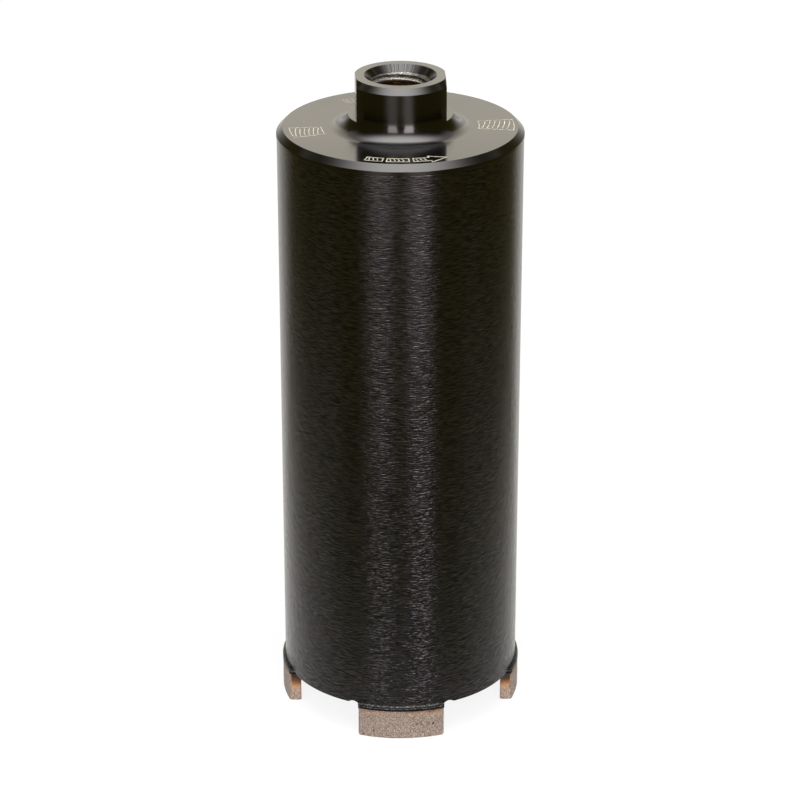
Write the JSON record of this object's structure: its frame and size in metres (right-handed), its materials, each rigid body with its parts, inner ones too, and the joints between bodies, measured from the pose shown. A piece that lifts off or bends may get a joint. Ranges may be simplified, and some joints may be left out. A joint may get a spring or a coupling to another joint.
{
  "type": "diamond core bit",
  "caption": "Hollow steel barrel with diamond segments welded to its open end and a turned cap with a threaded hub and wrench flats, for dry core drilling.",
  "frame": {"origin": "centre of the segment tips, on the surface that the bit stands on", "axes": "+Z along the bit's axis from the segments to the hub, -Y towards the middle of one segment"},
  "size_m": [0.0682, 0.0682, 0.1839],
  "materials": {
    "brushed_black_steel": "brushed round, blackened and lacquered",
    "turned_black_steel": "turned smooth, blackened, satin gloss",
    "sintered_bronze": "sintered metal with diamond grit, matt",
    "weld_metal": "rough welded bead, dark"
  },
  "bodies": {
    "root": {"barrel_tube": "brushed_black_steel", "threaded_cap": "turned_black_steel", "diamond_segment_1": "sintered_bronze", "diamond_segment_2": "sintered_bronze", "diamond_segment_3": "sintered_bronze", "diamond_segment_4": "sintered_bronze", "weld_seam_1": "weld_metal", "weld_seam_2": "weld_metal", "weld_seam_3": "weld_metal", "weld_seam_4": "weld_metal"}
  },
  "joints": []
}
